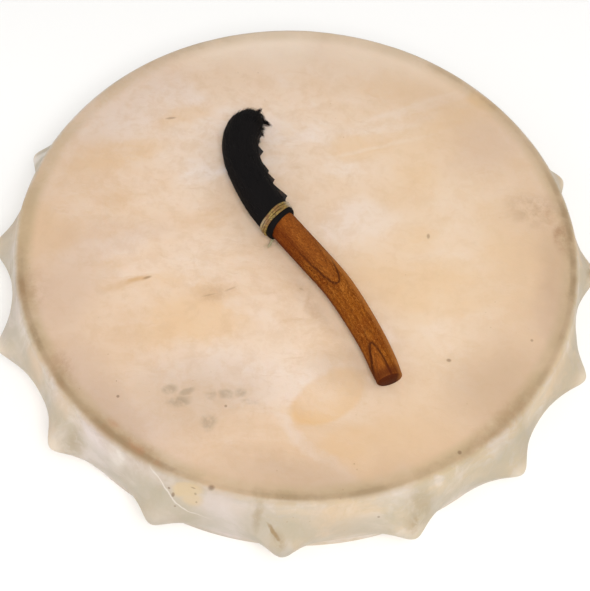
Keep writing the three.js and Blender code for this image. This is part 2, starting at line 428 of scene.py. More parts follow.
def add_spot(tree, others, vector, centre, sharpness, turn, edge, strength):
    """Adds one spot of the given strength to the others' mask."""
    inputs = {"Vector": vector, "Centre": [part * MM for part in centre], "Turn": turn}
    inputs |= {"Sharpness": [part / MM for part in sharpness], "Edge": edge}
    spot = add_node(tree, "ShaderNodeGroup", inputs, node_tree=spot_group).outputs["Mask"]
    return calc(tree, "MAXIMUM", others, calc(tree, "MULTIPLY", spot, strength))


def spots(tree, vector, places):
    """Several spots as one mask. A place is x, y, half length, half width, turn, edge, strength."""
    flatness = 0.012
    mask = 0.0
    for x, y, half_length, half_width, turn, edge, strength in places:
        centre = (x, y, DRUM_DEPTH)
        sharpness = (1 / half_length, 1 / half_width, flatness)
        mask = add_spot(
            tree, mask, vector, centre, sharpness, -math.radians(turn), edge, strength
        )
    return mask


SIDE_SPOT_RADIUS = 232


def side_spots(tree, vector, places):
    """Spots on the side. A place is angle, height, half width, half height, edge, strength."""
    inwards = 0.02
    mask = 0.0
    for degrees, height, half_width, half_height, edge, strength in places:
        way = math.radians(degrees)
        centre = (SIDE_SPOT_RADIUS * math.cos(way), SIDE_SPOT_RADIUS * math.sin(way), height)
        sharpness = (inwards, 1 / half_width, 1 / half_height)
        mask = add_spot(tree, mask, vector, centre, sharpness, -way, edge, strength)
    return mask


# The hide's look. Reach, right, behind and high are millimetres from the drum's middle: outwards,
# to the right, backwards and up.
raw_hide, tree, shader = new_material("raw_hide")
place = object_place(tree)
measured = vector_calc(tree, "MULTIPLY", place, (1000, 1000, 1000))
right, behind, high = add_node(tree, "ShaderNodeSeparateXYZ", {0: measured}).outputs
reach = vector_calc(tree, "LENGTH", vector_calc(tree, "MULTIPLY", measured, (1, 1, 0)))

# Stains never have even outlines. Broad ones drift far and end raggedly, small ones more crisply.
RAGGED_DRIFT = 0.055
CRISP_DRIFT = 0.02
drift = {"Vector": place, "Scale": 14.0, "Detail": 5.0, "Roughness": 0.6}
drift = add_node(tree, "ShaderNodeTexNoise", drift).outputs["Color"]
drift = vector_calc(tree, "SUBTRACT", drift, (0.5, 0.5, 0.5))
ragged, crisp = (
    vector_calc(tree, "ADD", place, vector_calc(tree, "MULTIPLY", drift, (far, far, far)))
    for far in (RAGGED_DRIFT, CRISP_DRIFT)
)

# The skin's own colour, uneven in broad clouds that run slightly across the head.
clouds = grain_noise(tree, place, (7, 11, 8), 8.0, 0.62, 0.5, -25)
skin = add_node(tree, "ShaderNodeValToRGB", {"Fac": clouds})
ramp = skin.color_ramp
ramp.elements[0].position, ramp.elements[0].color = 0.32, tone(209, 176, 142)
ramp.elements[1].position, ramp.elements[1].color = 0.7, tone(226, 210, 199)
ramp.elements.new(0.44).color = tone(219, 191, 164)
ramp.elements.new(0.58).color = tone(221, 197, 175)
colour = skin.outputs["Color"]

# Orange and tan places, where fat stayed in the skin.
warm = [
    (-75, -82, 34, 24, 10, 0.45, 0.85), (-100, -42, 26, 12, 20, 0.6, 0.5),
    (85, -176, 40, 24, 10, 0.4, 0.7), (100, -34, 62, 24, -6, 0.5, 0.75),
    (178, -20, 34, 40, 0, 0.6, 0.8), (-156, 64, 40, 13, 24, 0.5, 0.9),
    (-108, 118, 36, 9, 36, 0.6, 0.6), (-205, -8, 26, 24, 30, 0.6, 0.8),
    (120, 132, 26, 10, 20, 0.5, 0.8), (92, 176, 40, 13, 24, 0.5, 0.85),
    (44, 98, 22, 10, 0, 0.5, 0.6), (96, 76, 16, 12, 0, 0.5, 0.5),
    (88, 17, 19, 14, 0, 0.4, 0.65), (150, 40, 14, 10, 0, 0.5, 0.4),
]
colour = wash(tree, colour, (217, 182, 142), spots(tree, ragged, warm), 0.8)
fatty = [
    (31, -139, 31, 17, 38, 0.14, 0.95), (46, -176, 20, 13, 20, 0.4, 0.5),
    (150, 156, 18, 9, -30, 0.3, 0.8),
]
colour = wash(tree, colour, (214, 171, 116), spots(tree, crisp, fatty))

# Paler, pinkish veils, where the skin's outer layer flaked while it was scraped.
pale = [
    (50, 27, 30, 21, 10, 0.55, 0.75), (-165, 122, 70, 30, 52, 0.5, 0.75),
    (-20, -130, 70, 20, -6, 0.6, 0.5), (60, -208, 40, 10, 12, 0.6, 0.4),
    (100, 150, 60, 6, 26, 0.7, 0.65), (60, 120, 50, 5, 18, 0.7, 0.5),
    (125, 50, 26, 40, 0, 0.7, 0.35), (34, -184, 46, 5, -29, 0.8, 0.6),
    (-160, 122, 40, 26, 50, 0.7, 0.9), (208, -38, 4, 22, -8, 0.8, 0.35),
    (-150, -20, 46, 9, 22, 0.7, 0.45),
]
colour = wash(tree, colour, (225, 211, 203), spots(tree, ragged, pale), 0.85)

# Thin streaks, wisps, mottles and veins.
streaks = [(104, 156, 42, 2.2, 28, 0.8, 0.55), (66, 102, 46, 1.8, 20, 0.9, 0.35)]
colour = wash(tree, colour, (228, 214, 205), spots(tree, crisp, streaks))
fine_marks = [
    (ragged, (13, 40, 30), 4.0, 0.55, 0.5, -24, 0.48, 0.74, 0.32, (227, 211, 200)),
    (crisp, 75.0, 6.0, 0.68, 0.3, 0, 0.42, 0.66, 0.36, (202, 168, 132)),
    (crisp, (34, 90, 60), 6.0, 0.65, 1.4, 18, 0.56, 0.74, 0.26, (192, 154, 116)),
]
colour = noise_washes(tree, colour, fine_marks)

# The right half is yellower, and the head is darker towards the rim all round.
colour = wash(tree, colour, (218, 188, 150), fade(tree, right, -40, 130, 0, 0.45))
rim_darkening_patches = fade(tree, grain_noise(tree, ragged, 9.0, 4.0, 0.6), 0.25, 0.7, 0.65, 1.0)
colour = wash(tree, colour, (194, 163, 133), fade(tree, reach, 115, 222), rim_darkening_patches, 0.62)
mauve = [
    (-176, -66, 42, 24, 60, 0.7, 0.6), (-132, -150, 62, 18, -42, 0.7, 0.75),
    (-150, -8, 40, 16, 12, 0.7, 0.4), (150, 108, 34, 22, 40, 0.8, 0.5),
    (-30, 200, 60, 14, 4, 0.8, 0.4), (196, -60, 12, 40, 0, 0.8, 0.5),
]
colour = wash(tree, colour, (192, 165, 146), spots(tree, ragged, mauve), 0.6)
lighter = [(-50, 212, 80, 30, 4, 0.8, 0.7), (60, 200, 90, 26, -6, 0.8, 0.5)]
colour = wash(tree, colour, (226, 208, 189), spots(tree, ragged, lighter))
dim = [
    (-62, -144, 44, 30, 8, 0.8, 0.4), (-122, -160, 34, 24, -40, 0.8, 0.36),
    (20, -204, 60, 16, 2, 0.8, 0.5), (204, -24, 16, 44, 0, 0.8, 0.45),
    (160, -118, 34, 30, 40, 0.8, 0.45), (42, -118, 22, 14, 0, 0.8, 0.3),
]
colour = wash(tree, colour, (174, 145, 116), spots(tree, ragged, dim))

# The side and back dried greyer and greener, with painted light and shade laid over them.
over_rim = fade(tree, reach, 220.5, 224.2)
outside = calc(tree, "MAXIMUM", over_rim, fade(tree, high, 85, 78))
cool = fade(tree, grain_noise(tree, place, (9, 9, 5), 5.0, 0.6, 0.5), 0.36, 0.62)
cool = mix(tree, cool, tone(204, 190, 177), tone(210, 190, 160))
# Left half painted darker and greyer, as shade; right half lighter and warmer, as light.
shaded_left_side, lit_right_side = (
    wash(tree, cool, paint, 0.5) for paint in ((198, 184, 172), (218, 194, 156))
)
side = mix(tree, fade(tree, right, -160, 140), shaded_left_side, lit_right_side)
side_marks = [
    (ragged, (26, 26, 34), 6.0, 0.62, 1.6, 0, 0.48, 0.62, 0.55, (222, 211, 203)),
    (crisp, (20, 20, 12), 5.0, 0.6, 0.8, 57.3, 0.48, 0.66, 0.6, (184, 170, 140)),
    (crisp, (60, 60, 14), 4.0, 0.6, 0.5, 0, 0.48, 0.66, 0.5, (224, 212, 202)),
    (crisp, (22, 22, 46), 6.0, 0.66, 1.2, 22.9, 0.5, 0.66, 0.45, (184, 176, 164)),
]
side = noise_washes(tree, side, side_marks)
# Painted shade over the front of the side.
front_side_shade = [(-104, 44, 92, 70, 0.6, 0.45), (-44, 56, 34, 50, 0.7, 0.4)]
side = wash(tree, side, (166, 152, 132), side_spots(tree, ragged, front_side_shade))
pale_side = [
    (-160, 46, 13, 44, 0.6, 0.6), (-127, 50, 15, 44, 0.6, 0.95),
    (-99, 48, 20, 34, 0.6, 0.85), (-52, 26, 18, 16, 0.7, 0.5),
    (48, 50, 18, 40, 0.7, 0.6), (98, 44, 24, 40, 0.7, 0.6), (150, 50, 16, 44, 0.7, 0.6),
]
side = wash(tree, side, (220, 207, 205), side_spots(tree, ragged, pale_side), 0.85)
tan_side = [
    (-184, 50, 22, 44, 0.6, 0.7), (-149, 50, 8, 44, 0.8, 0.85),
    (-138, 46, 12, 44, 0.7, 0.55), (-78, 54, 26, 34, 0.6, 0.6),
    (-24, 50, 26, 44, 0.6, 0.65), (4, 50, 22, 44, 0.7, 0.8), (28, 40, 20, 40, 0.7, 0.5),
    (74, 50, 24, 36, 0.7, 0.5), (124, 50, 26, 40, 0.7, 0.6),
]
side = wash(tree, side, (211, 178, 138), side_spots(tree, ragged, tan_side), 0.8)
# Olive stripes at the pegs: painted shade in the creases beside each tent.
olive_crease_shade = [
    (-64, 44, 7, 44, 0.8, 0.6), (-116, 34, 10, 26, 0.7, 0.5), (-40, 50, 5, 44, 0.8, 0.5),
    (-172, 50, 4, 40, 0.8, 0.6), (-88, 24, 8, 16, 0.8, 0.5), (20, 50, 5, 40, 0.8, 0.5),
    (88, 40, 6, 40, 0.8, 0.5), (138, 44, 6, 40, 0.8, 0.5), (-146, 34, 8, 20, 0.8, 0.5),
]
side = wash(tree, side, (166, 152, 114), side_spots(tree, ragged, olive_crease_shade), 0.85)
colour = wash(tree, colour, side, outside, 0.9)

# Painted shade where the skin starts to rise over a peg, and pale where the peg's head thins it.
stretched = written(tree, "stretch")
rise_shade = product(
    tree, fade(tree, stretched, 0.16, 0.5), fade(tree, stretched, 1.0, 0.62, 0.35, 1.0)
)
shaded = fade(tree, grain_noise(tree, ragged, 40.0, 4.0, 0.6), 0.3, 0.6, 0.45, 0.85)
colour = wash(tree, colour, (174, 163, 142), rise_shade, shaded, 0.85)
# At the front the peg heads are painted darker grey instead, as shade.
front_tip_shade = fade(tree, behind, -240, -215)
peg_head_pale_and_shade = mix(tree, front_tip_shade, tone(160, 154, 140), tone(222, 206, 184))
colour = wash(tree, colour, peg_head_pale_and_shade, fade(tree, stretched, 0.8, 0.97, 0, 0.45))

# A thin tan patch beside one peg. For it the side is laid flat: distance round the drum, then
# height.
crisp_x, crisp_y, crisp_z = add_node(tree, "ShaderNodeSeparateXYZ", {0: crisp}).outputs
round_drum = calc(tree, "ARCTAN2", crisp_y, crisp_x)
round_drum = calc(tree, "MULTIPLY", round_drum, SIDE_SPOT_RADIUS * MM)
laid_flat = {0: round_drum, 1: crisp_z, 2: DRUM_DEPTH * MM}
laid_flat = add_node(tree, "ShaderNodeCombineXYZ", laid_flat).outputs[0]
patch = [(-433, 78, 12, 8, 20, 0.25, 0.7), (-427, 71, 8, 7, 0, 0.4, 0.6)]
colour = wash(tree, colour, (208, 182, 140), spots(tree, laid_flat, patch), outside)

# A pale scar curves beside the patch, a strip between two circles, and small flakes lie about.
outer_circle, inner_circle = (
    spots(tree, laid_flat, [(-360, 175, size, size, 0, 0.003, 1.0)]) for size in (136.2, 135.3)
)
scar = calc(tree, "SUBTRACT", outer_circle, inner_circle, use_clamp=True)
scar = product(tree, scar, spots(tree, laid_flat, [(-444, 70, 28, 18, -37, 0.6, 0.5)]))
flakes = [
    (-122, 78, 6, 14, 0.7, 0.5), (-45, 30, 20, 3, 0.7, 0.4), (70, 64, 12, 4, 0.6, 0.5),
    (160, 60, 4, 18, 0.6, 0.5),
]
bare = calc(tree, "MAXIMUM", scar, side_spots(tree, crisp, flakes))
colour = wash(tree, colour, (236, 228, 220), bare, outside)

# Painted brown shade in the creases over the peg heads, and dark nicks.
crease_shades = [
    (-93.4, 72, 3.5, 12, 0.8, 0.4), (-66.4, 57, 4, 6, 0.9, 0.35),
    (-64.2, 66, 9, 14, 0.7, 0.3), (2, 58, 4, 7, 0.8, 0.6), (48, 62, 3, 12, 0.7, 0.5),
    (113, 58, 5, 9, 0.8, 0.5), (-172, 56, 4, 10, 0.8, 0.45), (-131, 60, 7, 12, 0.8, 0.35),
]
# Painted shade along short slanting creases at two pegs, on the side laid flat.
slash_shades = [
    (-363.4, 65, 7, 1.3, -36, 0.5, 0.9), (-360, 61, 6, 3, -50, 0.8, 0.45),
    (-266, 58, 4, 3, 30, 0.8, 0.5),
]
crease_shade_mask = calc(
    tree, "MAXIMUM", side_spots(tree, crisp, crease_shades), spots(tree, laid_flat, slash_shades)
)
crumbled = fade(tree, grain_noise(tree, ragged, 120.0, 4.0, 0.65), 0.36, 0.56, 0.25, 1.0)
colour = wash(tree, colour, (150, 124, 86), crease_shade_mask, outside, crumbled)
nicks = [
    (-110.2, 75, 0.9, 0.9, 0.5, 0.8), (-108.4, 62.5, 0.8, 0.6, 0.5, 0.6),
    (-105.7, 84, 1.6, 0.7, 0.6, 0.6), (-105.2, 78, 0.9, 1.2, 0.6, 0.5),
    (-104.8, 70, 0.7, 0.9, 0.6, 0.5), (-71.5, 64, 1.0, 1.0, 0.4, 0.6),
    (-40, 50, 1.0, 1.6, 0.4, 0.5), (30, 70, 1.3, 1.0, 0.4, 0.7),
    (95, 40, 1.0, 1.2, 0.4, 0.6), (150, 72, 1.0, 1.0, 0.4, 0.7),
]
colour = wash(tree, colour, (104, 76, 50), side_spots(tree, place, nicks), 0.8)

# Dirt along the rim: a broad tan band where the hoop's edge shows, a dark uneven line on it, and
# a worn edge outside. All three stop where the hide bends down over the hoop.
on_head = fade(tree, high, 79.5, 86.5)
towards_front = fade(tree, behind, 160, -40, 0.5, 1.0)
band = product(tree, fade(tree, reach, 207, 217), fade(tree, reach, 227.2, 220.6))
cloudy = fade(tree, grain_noise(tree, ragged, 26.0, 5.0, 0.65), 0.3, 0.6, 0.5, 1.0)
colour = wash(tree, colour, (174, 152, 117), band, cloudy, towards_front, on_head, 0.78)
wander = calc(tree, "SUBTRACT", grain_noise(tree, crisp, 34.0, 6.0, 0.72), 0.5)
wandering = calc(tree, "ADD", reach, calc(tree, "MULTIPLY", wander, 14))
line = product(tree, fade(tree, wandering, 213.5, 219.5), fade(tree, reach, 226.5, 220.6))
dirtiest = [
    (-196, -96, 66, 34, -62, 0.7, 0.85), (-112, -188, 62, 30, -30, 0.7, 0.9),
    (30, -218, 110, 22, 2, 0.7, 0.6), (150, -160, 70, 30, 46, 0.7, 0.85),
    (214, 0, 26, 84, 0, 0.7, 0.9), (150, 164, 80, 22, -46, 0.7, 0.4),
    (-222, 10, 20, 60, 0, 0.7, 0.25), (-120, 186, 70, 20, 34, 0.7, 0.4),
]
clumps = grain_noise(tree, crisp, 27.0, 5.0, 0.7)
clumped = fade(tree, clumps, 0.36, 0.62, 0.2, 0.64)
dirtiest = spots(tree, place, dirtiest)
colour = wash(tree, colour, (140, 115, 82), line, dirtiest, on_head, clumped)
worn_edge = [
    (218, -16, 34, 110, 0, 0.6, 0.5), (156, 160, 110, 30, -46, 0.6, 0.2),
    (-196, -100, 60, 30, -62, 0.6, 0.8), (-100, -198, 60, 24, -28, 0.6, 0.5),
    (40, -221, 150, 20, 4, 0.6, 0.4),
]
edge = product(tree, fade(tree, reach, 216.8, 219.2), fade(tree, reach, 224.2, 220.8))
clumped = fade(tree, clumps, 0.34, 0.62, 0.3, 0.8)
worn_edge = spots(tree, place, worn_edge)
colour = wash(tree, colour, (128, 104, 72), edge, worn_edge, clumped, on_head)

# Brown stains, and rusty ones at the front left.
patchy = fade(tree, grain_noise(tree, crisp, 90.0, 6.0, 0.72), 0.3, 0.66)
brown = [
    (190, 46, 20, 15, 0, 0.7, 0.42), (212, 20, 7, 14, 0, 0.6, 0.65),
    (-204, -66, 12, 16, 20, 0.8, 0.4), (-170, -132, 9, 20, 38, 0.8, 0.45),
    (-120, -183, 9, 30, 58, 0.8, 0.4), (-97, -193, 9, 5, -30, 0.6, 0.5),
    (160, -148, 8, 34, -42, 0.8, 0.35), (-62, -56, 12, 7, 20, 0.8, 0.28),
    (14, -60, 26, 5, -52, 0.9, 0.3),
]
colour = wash(tree, colour, (150, 112, 76), spots(tree, crisp, brown), patchy)
rusty = [
    (-104, -190, 8, 3, -34, 0.7, 0.4), (-122, -174, 6, 2.5, -40, 0.7, 0.3),
    (-89, -199, 5, 2.5, -30, 0.7, 0.3),
]
colour = wash(tree, colour, (176, 120, 84), spots(tree, crisp, rusty), patchy)

# Grey smudges, a grey spot beside the binding, and the small dark marks of hair roots and nicks.
grey = [
    (-85, -140, 5, 4, 0, 0.5, 0.6), (-73, -143, 5, 3, 30, 0.5, 0.6),
    (-78, -151, 7, 4, 10, 0.6, 0.75), (-57, -144, 4, 5, 20, 0.5, 0.5),
    (-46, -143, 5, 4, -20, 0.5, 0.6), (-36, -141, 4, 4, 0, 0.5, 0.55),
    (-27, -149, 6, 2.5, 0, 0.6, 0.5), (-55, -167, 5, 6, 30, 0.6, 0.6),
    (-20, -5, 10, 3, 35, 0.6, 0.5),
]
broken = fade(tree, grain_noise(tree, place, 120.0, 4.0, 0.6), 0.34, 0.6, 0.15, 0.9)
colour = wash(tree, colour, (152, 134, 110), spots(tree, crisp, grey), broken)
marks = [
    (104, 13, 1.2, 2.2, 0, 0.5, 0.6), (121, -99, 1.7, 1.3, 0, 0.5, 0.75),
    (-116, -46.5, 3.2, 1.0, 26, 0.6, 0.8), (-116, 113, 4, 1.1, 14, 0.5, 0.55),
    (-124, -151, 1.1, 1.1, 0, 0.4, 0.8), (-48, -217, 2.1, 1.6, 0, 0.6, 0.9),
    (-76, -218, 1.2, 1.0, 0, 0.4, 0.8), (129, -175, 1.5, 1.5, 0, 0.4, 0.8),
    (-44, -152, 1.0, 1.0, 0, 0.4, 0.7), (185, -76, 1.1, 1.1, 0, 0.4, 0.6),
    (5, -46, 1.6, 0.8, -20, 0.6, 0.3), (-50, -51, 4, 0.7, 30, 0.7, 0.35),
    (-66, -58, 5, 0.6, 20, 0.7, 0.3), (-172, 158, 1.6, 1.0, 40, 0.5, 0.7),
]
colour = wash(tree, colour, (108, 78, 48), spots(tree, place, marks), 0.75)
tails = [(-123, -50, 9, 2.4, 24, 0.8, 0.6), (-134, -55, 12, 3, 18, 0.9, 0.3)]
colour = wash(tree, colour, (190, 148, 96), spots(tree, crisp, tails))
roots = add_node(tree, "ShaderNodeTexVoronoi", {"Vector": crisp, "Scale": 95.0})
specks = fade(tree, roots.outputs["Distance"], 0.075, 0.03)
rooted = fade(tree, grain_noise(tree, ragged, 11.0, 3.0, 0.5), 0.52, 0.66, 0, 0.45)
colour = wash(tree, colour, (140, 100, 64), specks, rooted)

# Dull where it was handled, with fine pores and a relief of soft wrinkles.
dull = fade(tree, grain_noise(tree, place, 30.0, 5.0, 0.6), 0.3, 0.7, 0.42, 0.6)
pores = calc(tree, "MULTIPLY", grain_noise(tree, place, 900.0, 3.0, 0.6), 0.25)
wrinkles = grain_noise(tree, ragged, (70, 130, 90), 6.0, 0.62, 0.8, 20)
relief = calc(tree, "ADD", pores, wrinkles)
finish_surface(tree, shader, colour, dull, relief, strength=0.22, depth=0.8)
shader.inputs["Specular IOR Level"].default_value = 0.4
shader.inputs["Subsurface Weight"].default_value = 0.12
shader.inputs["Subsurface Radius"].default_value = (0.004, 0.0022, 0.0012)
shader.inputs["Subsurface Scale"].default_value = 1.0
hide = make_piece(bm, "hide_skin", raw_hide, "drum_hide")
write_values(hide, "stretch", np.where(on_side, stretch, 0))


# --- Hoop -----------------------------------------------------------------------------------------
# A plank of pale wood, steamed and bent to a ring, its ends lapped on a long slope. The hide's cuff
# grips its lower edge, and the upper edge carries the head.


def make_grain_group():
    """Straight-grained wood. The vector's X runs along the grain; all are in millimetres."""
    given_out = {"Figure": "Float", "Pores": "Float", "Relief": "Float"}
    group, given = new_group("wood_grain", {"Vector": "Vector"}, given_out)
    figure = grain_noise(group, given["Vector"], (0.014, 0.36, 0.36), 6.0, 0.65, 0.5)
    dashes = grain_noise(group, given["Vector"], (0.3, 2.4, 2.4), 3.0, 0.6)
    pores = fade(group, dashes, 0.53, 0.66)
    relief = calc(group, "SUBTRACT", figure, calc(group, "MULTIPLY", pores, 0.6))
    add_node(group, "NodeGroupOutput", {"Figure": figure, "Pores": pores, "Relief": relief})
    return group


grain_group = make_grain_group()


def written_place(tree, ways):
    """The place in the wood, from three values that were written to each point."""
    parts = {index: written(tree, way) for index, way in enumerate(ways)}
    return add_node(tree, "ShaderNodeCombineXYZ", parts).outputs[0]


def make_wood(name, dark, light, pore, roughness, ways=None):
    """Wood whose grain follows the piece's own values, or lies along X where it has none."""
    material, tree, shader = new_material(name)
    if ways:
        vector = written_place(tree, ways)
    else:
        vector = vector_calc(tree, "MULTIPLY", object_place(tree), (1000, 1000, 1000))
    grain = add_node(tree, "ShaderNodeGroup", {"Vector": vector}, node_tree=grain_group).outputs
    colour = mix(tree, fade(tree, grain["Figure"], 0.3, 0.7), tone(*dark), tone(*light))
    colour = wash(tree, colour, pore, grain["Pores"], 0.6)
    finish_surface(tree, shader, colour, roughness, grain["Relief"], strength=0.35, depth=0.4)
    return material, tree, shader, colour


HOOP_BOTTOM = 2.1
HOOP_TOP = 85.9
INNER_EDGE = 1.2
OUTER_EDGE = 2.5
low, high = HOOP_BOTTOM + INNER_EDGE, HOOP_TOP - INNER_EDGE
hoop_points = [(HOOP_INNER, h) for h in (low, 20, 40, 60, high)]
hoop_points += corner(HOOP_INNER + INNER_EDGE, high, INNER_EDGE, 180, 90, 4)
for height, start in ((HOOP_TOP - OUTER_EDGE, 90), (HOOP_BOTTOM + OUTER_EDGE, 0)):
    hoop_points += corner(HOOP_OUTER - OUTER_EDGE, height, OUTER_EDGE, start, start - 90, 4)
hoop_points += corner(HOOP_INNER + INNER_EDGE, low, INNER_EDGE, -90, -180, 4)
bm = spin_profile(hoop_points, 256)

# The lap is a dark line across the plank's inner face, sloping as the ends were cut.
LAP_ANGLE = math.radians(62)
LAP_PLACE = 60.0
LAP_SLOPE = 0.9
HOOP_WAYS = ("along", "height", "depth")


def hoop_grain(co):
    """Distance round the ring, height and depth in the plank, in millimetres."""
    turn = nearest_turn(math.atan2(co.y, co.x) - LAP_ANGLE)
    return turn * HOOP_INNER, co.z, math.hypot(co.x, co.y)


hoop_places = [hoop_grain(v.co) for v in bm.verts]
pale_wood, tree, shader, wood_colour = make_wood(
    "bent_wood", (176, 136, 90), (192, 154, 106), (140, 102, 64), 0.6, HOOP_WAYS
)
slope = calc(tree, "MULTIPLY", written(tree, "height"), LAP_SLOPE)
slope = calc(tree, "ADD", slope, written(tree, "along"))
from_lap = calc(tree, "ABSOLUTE", calc(tree, "SUBTRACT", slope, LAP_PLACE))
wood_colour = wash(tree, wood_colour, (66, 42, 24), fade(tree, from_lap, 1.3, 0.3, 0, 0.85))
tree.links.new(wood_colour, shader.inputs["Base Color"])
hoop = make_piece(bm, "bent_hoop", pale_wood, "hoop")
for way, values in zip(HOOP_WAYS, zip(*hoop_places)):
    write_values(hoop, way, values)


# --- Pegs -----------------------------------------------------------------------------------------
# Short wooden knobs set into the hoop's side. The hide covers them, so they keep the shapes they
# were turned to.

peg_wood = make_wood("peg_wood", (150, 108, 68), (186, 146, 98), (104, 70, 40), 0.65)[0]
for index in range(PEG_COUNT):
    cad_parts[f"peg_{index + 1:02d}"].material_slots[0].material = peg_wood


# --- Grip -----------------------------------------------------------------------------------------
# A carved bar of dark wood across the open back, swelled for the palm and tenoned into the hoop.
# Hands have worn it smooth, and a few grooves are cut beside the palm.


def tube(stations, around, place):
    """A closed limb: place(share, angle) gives its surface. Shares run over the stations."""
    rows = len(stations) - 1
    bm = bmesh.new()
    bmesh.ops.create_grid(bm, x_segments=around, y_segments=rows, size=1)
    for vert in bm.verts:
        turn = (vert.co.x + 1) * math.pi
        vert.co = place(stations[round((vert.co.y + 1) / 2 * rows)], turn)
    bmesh.ops.remove_doubles(bm, verts=bm.verts, dist=0.002)
    bmesh.ops.holes_fill(bm, edges=[e for e in bm.edges if e.is_boundary], sides=0)
    bmesh.ops.recalc_face_normals(bm, faces=bm.faces)
    return bm


GRIP_HEIGHT = 44
GRIP_REACH = HOOP_INNER - 0.6
GRIP_HALF_WIDTH = 8
GRIP_HALF_DEPTH = 9
PALM_SWELL = 3
END_SWELL = 4
GROOVES = (0.47, 0.5, 0.53)
GROOVE_DEPTH = 0.7
GROOVE_WIDTH = 0.006


def grip_place(share, turn):
    from_middle = abs(2 * share - 1)
    swell = PALM_SWELL * (1 - smooth_share(from_middle, 0.15, 0.4))
    swell += END_SWELL * smooth_share(from_middle, 0.7, 1)
    swell -= sum(
        GROOVE_DEPTH * math.exp(-(((from_middle - at) / GROOVE_WIDTH) ** 2)) for at in GROOVES
    )
    return (
        (2 * share - 1) * GRIP_REACH,
        -(GRIP_HALF_WIDTH + swell) * math.sin(turn),
        GRIP_HEIGHT + (GRIP_HALF_DEPTH + swell) * math.cos(turn),
    )


near_grooves = [*np.linspace(0.21, 0.29, 33), *np.linspace(0.71, 0.79, 33)]
bm = tube(sorted({*np.linspace(0, 1, 61), *near_grooves}), 40, grip_place)
grip_wood = make_wood("grip_wood", (96, 54, 24), (142, 88, 44), (52, 28, 14), 0.42)[0]
make_piece(bm, "carved_grip", grip_wood, "grip_bar")


# --- Cuff stitches --------------------------------------------------------------------------------
# A rawhide thong runs in and out of the turned-in cuff and holds it to the hoop. Each stitch is a
# short flat bar sunk at both ends.

STITCH_COUNT = 56
STITCH_RADIUS = HOOP_INNER - 2.35
STITCH_HEIGHT = 11.4
HALF_THICK, HALF_LONG, HALF_WIDE = 0.9, 6.2, 1.7
bm = bmesh.new()
stitch_random = random.Random(5)
for index in range(STITCH_COUNT):
    turn = (index + 0.5) * 2 * math.pi / STITCH_COUNT + stitch_random.uniform(-0.008, 0.008)
    made = bmesh.ops.create_uvsphere(bm, u_segments=10, v_segments=8, radius=1)["verts"]
    size = (HALF_THICK, HALF_LONG + stitch_random.uniform(-0.6, 0.6), HALF_WIDE)
    bmesh.ops.scale(bm, vec=size, verts=made)
    slant = Matrix.Rotation(stitch_random.uniform(0.18, 0.34), 3, "X")
    bmesh.ops.rotate(bm, matrix=slant, verts=made)
    spot = (STITCH_RADIUS, 0, STITCH_HEIGHT + stitch_random.uniform(-0.5, 0.5))
    bmesh.ops.translate(bm, vec=spot, verts=made)
    bmesh.ops.rotate(bm, matrix=Matrix.Rotation(turn, 3, "Z"), verts=made)
thong, tree, shader = new_material("thong")
worn = grain_noise(tree, object_place(tree), 160.0, 4.0, 0.6)
finish_surface(tree, shader, mix(tree, worn, tone(150, 112, 72), tone(206, 168, 122)), 0.6)
make_piece(bm, "cuff_stitches", thong)


# --- Beater's stick -------------------------------------------------------------------------------
# A naturally crooked branch, shaved to an oval section and oiled. It has open pores, dark looped
# figure where the knife ran through the growth rings, and a flat sawn butt.

# Places along the beater are shares of its line's length, from the butt to the tip.
STICK_START = 0.02
HEEL = 0.07
BELLY = 0.45
SLEEVE_MOUTH = 0.566
BINDING_START = 0.582
BINDING_END = 0.615
TAPER_END = 0.66
STICK_END = 0.92
TIP_START = 0.93
BUTT_LIFT = 10
SLEEVE_LIFT = 14.4
BUTT_ROUND = 1.6
BUTT_HALF_WIDTH, HEEL_HALF_WIDTH, BELLY_SWELL = 10.1, 10.8, 1.5
BUTT_HALF_HEIGHT, HEEL_HALF_HEIGHT = 8.6, 9.4
WIDTH_TAPER, HEIGHT_TAPER = 4.6, 2.5
beater_plan = [
    (78, -131), (64, -99), (48, -71), (32, -48), (12, -26), (-9, -3),
    (-27, 18), (-41, 41), (-52, 66), (-54, 88), (-47, 102), (-38, 106),
]


def blend(share, start, end, low, high):
    return low + (high - low) * smooth_share(share, start, end)


def draw_beater_line():
    """Points along the smooth line through the plan, and each one's share of the length."""
    knots = [
        np.array((x, y, DRUM_DEPTH + blend(index, 1, 5, BUTT_LIFT, SLEEVE_LIFT)))
        for index, (x, y) in enumerate(beater_plan)
    ]
    knots = [2 * knots[0] - knots[1], *knots, 2 * knots[-1] - knots[-2]]
    points = []
    for before, start, end, after in zip(knots, knots[1:], knots[2:], knots[3:]):
        pairs = ((before, start), (start, end), (end, after))
        first, gap, last = (math.sqrt(np.linalg.norm(b - a)) for a, b in pairs)
        way = (end - start) / gap
        leave = (start - before) / first - (end - before) / (first + gap) + way
        arrive = way - (after - start) / (gap + last) + (after - end) / last
        for t in np.linspace(0, 1, 24, endpoint=False):
            points.append(
                (2 * t**3 - 3 * t**2 + 1) * start
                + (t**3 - 2 * t**2 + t) * leave * gap
                + (3 * t**2 - 2 * t**3) * end
                + (t**3 - t**2) * arrive * gap
            )
    points = np.array([*points, knots[-2]])
    run = np.concatenate([[0], np.cumsum(np.linalg.norm(np.diff(points, axis=0), axis=1))])
    return points, run / run[-1], run[-1]


line_points, line_shares, beater_length = draw_beater_line()


def on_line(share):
    return Vector([np.interp(share, line_shares, line_points[:, axis]) for axis in range(3)])


def line_frame(share):
    """Centre, direction towards the tip, level sideways to the right, and upwards."""
    ahead = (on_line(min(share + 0.012, 1)) - on_line(max(share - 0.012, 0))).normalized()
    across = ahead.cross(Vector((0, 0, 1))).normalized()
    return on_line(share), ahead, across, across.cross(ahead)


def oval(share, turn, half_width, half_height):
    centre, _, across, above = line_frame(share)
    return centre + across * math.sin(turn) * half_width + above * math.cos(turn) * half_height


